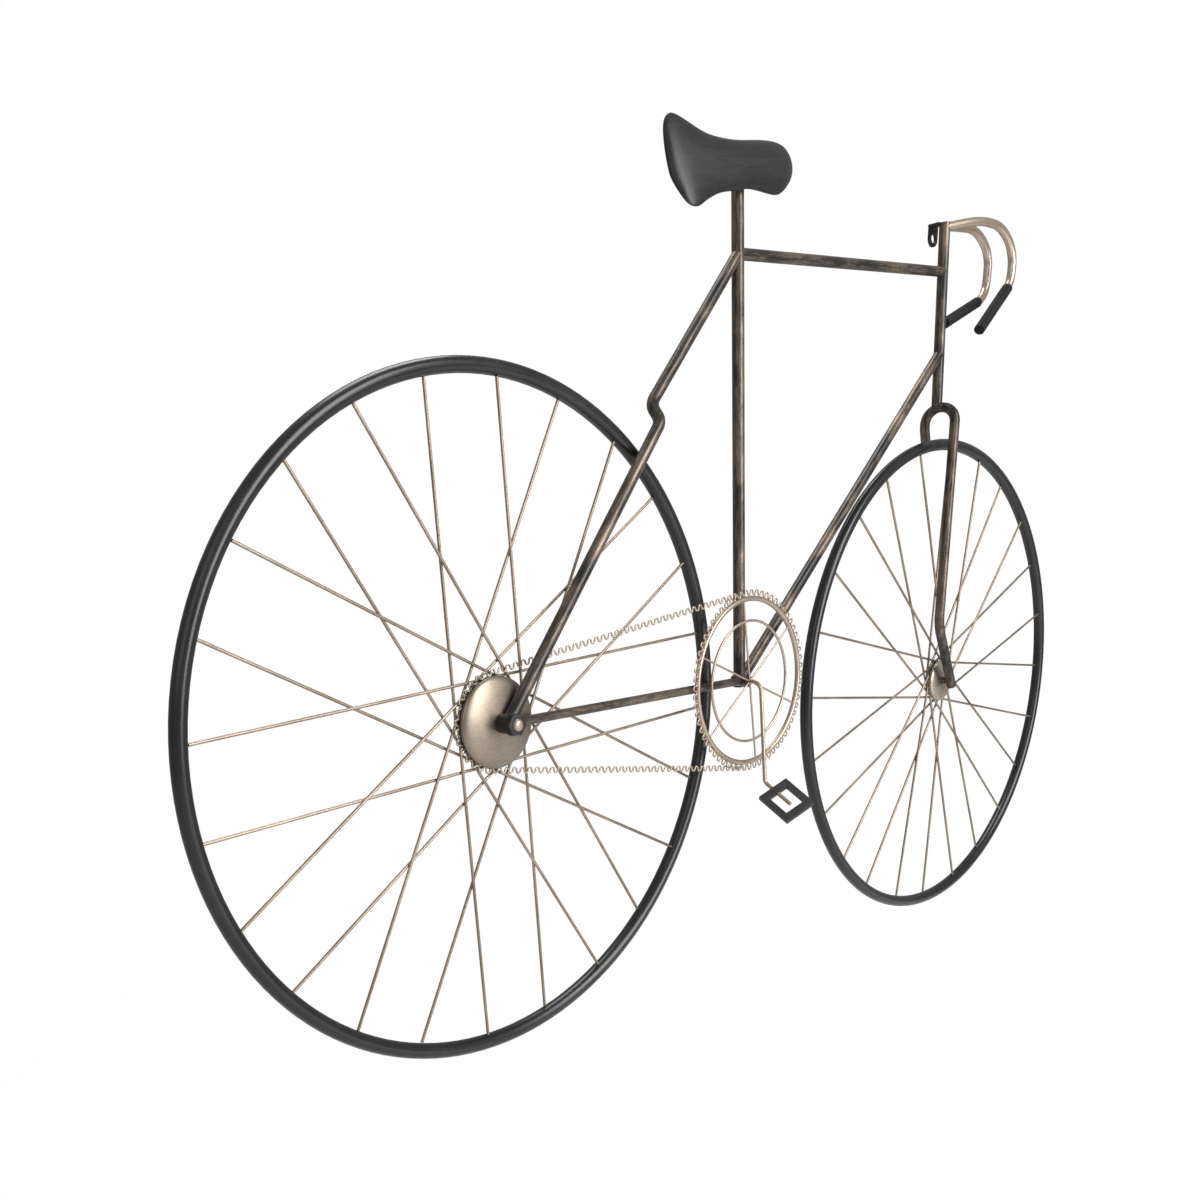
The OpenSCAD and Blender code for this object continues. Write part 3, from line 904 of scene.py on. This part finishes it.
class BICYCLE_OT_saddle(bpy.types.Operator):
    """Skins the saddle over round sections along its length"""
    bl_idname = "bicycle.saddle"
    bl_label = "Saddle"

    def execute(self, context):
        deselect()
        bpy.ops.mesh.primitive_plane_add(size=MM, location=(0, 0, 0), rotation=(0, 0, 0))
        saddle = bpy.context.object
        saddle.name = "saddle_shell"
        bpy.ops.object.mode_set(mode="EDIT")
        bpy.ops.mesh.select_all(action="SELECT")
        bpy.ops.mesh.delete(type="VERT")
        tail = SADDLE_SECTIONS[0][0]
        nose = SADDLE_SECTIONS[-1][0]
        for ring in range(SADDLE_RINGS):
            share = (1 - math.cos(math.pi * ring / (SADDLE_RINGS - 1))) / 2
            saddle_ring(saddle, tail + (nose - tail) * share)
        bpy.ops.mesh.select_all(action="SELECT")
        bpy.ops.mesh.bridge_edge_loops(type="SINGLE")
        bpy.ops.mesh.select_all(action="SELECT")
        bpy.ops.mesh.fill_holes(sides=0)
        bpy.ops.mesh.select_all(action="SELECT")
        bpy.ops.mesh.normals_make_consistent(inside=False)
        bpy.ops.object.mode_set(mode="OBJECT")
        saddle.matrix_world = SADDLE_PLACE
        bpy.ops.object.transform_apply(location=True, rotation=True, scale=True)
        smooth = saddle.modifiers.new("Smooth skin", "SUBSURF")
        smooth.levels = SADDLE_SMOOTHING
        bpy.ops.object.modifier_apply(modifier=smooth.name)
        bpy.ops.object.shade_smooth()
        coat(saddle, charcoal_metal(context.scene.bicycle_finish))
        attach(saddle, "frame")
        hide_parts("saddle")
        return {"FINISHED"}


class BICYCLE_OT_stage(bpy.types.Operator):
    """Sets the pale floor, the soft light and the camera"""
    bl_idname = "bicycle.stage"
    bl_label = "Stage"

    def execute(self, context):
        scene = context.scene
        deselect()
        stage_floor(CAD_BOX[0].z - scene.bicycle_stage.floor_drop)
        stage_air(scene)
        stage_lamps()
        stage_camera(scene)
        scene.view_settings.view_transform = "Standard"
        return {"FINISHED"}


class BICYCLE_PT_sidebar(bpy.types.Panel):
    """Lists the steps in the sidebar"""
    bl_idname = "BICYCLE_PT_sidebar"
    bl_label = "Wall bicycle"
    bl_space_type = "VIEW_3D"
    bl_region_type = "UI"
    bl_category = "Wall bicycle"

    def draw(self, context):
        for step in STEPS:
            self.layout.operator(step.bl_idname)
        for key, group in GROUPS:
            box = self.layout.box()
            for name in group.__annotations__:
                box.prop(getattr(context.scene, key), name)


STEPS = (
    BICYCLE_OT_frame_finish,
    BICYCLE_OT_champagne_finish,
    BICYCLE_OT_black_finish,
    BICYCLE_OT_chain,
    BICYCLE_OT_handlebar,
    BICYCLE_OT_hubs,
    BICYCLE_OT_nut,
    BICYCLE_OT_saddle,
    BICYCLE_OT_stage,
)
GROUPS = (
    ("bicycle_sizes", BicycleSizes),
    ("bicycle_finish", BicycleFinish),
    ("bicycle_stage", BicycleStage),
)


def register():
    for key, group in GROUPS:
        bpy.utils.register_class(group)
        setattr(bpy.types.Scene, key, bpy.props.PointerProperty(type=group))
    for step in STEPS:
        bpy.utils.register_class(step)
    bpy.utils.register_class(BICYCLE_PT_sidebar)


def unregister():
    bpy.utils.unregister_class(BICYCLE_PT_sidebar)
    for step in reversed(STEPS):
        bpy.utils.unregister_class(step)
    for key, group in reversed(GROUPS):
        delattr(bpy.types.Scene, key)
        bpy.utils.unregister_class(group)


def main():
    register()
    bpy.ops.bicycle.frame_finish()
    bpy.ops.bicycle.champagne_finish()
    bpy.ops.bicycle.black_finish()
    bpy.ops.bicycle.chain()
    bpy.ops.bicycle.handlebar()
    bpy.ops.bicycle.hubs()
    bpy.ops.bicycle.nut()
    bpy.ops.bicycle.saddle()
    bpy.ops.bicycle.stage()


if __name__ == "__main__":
    main()
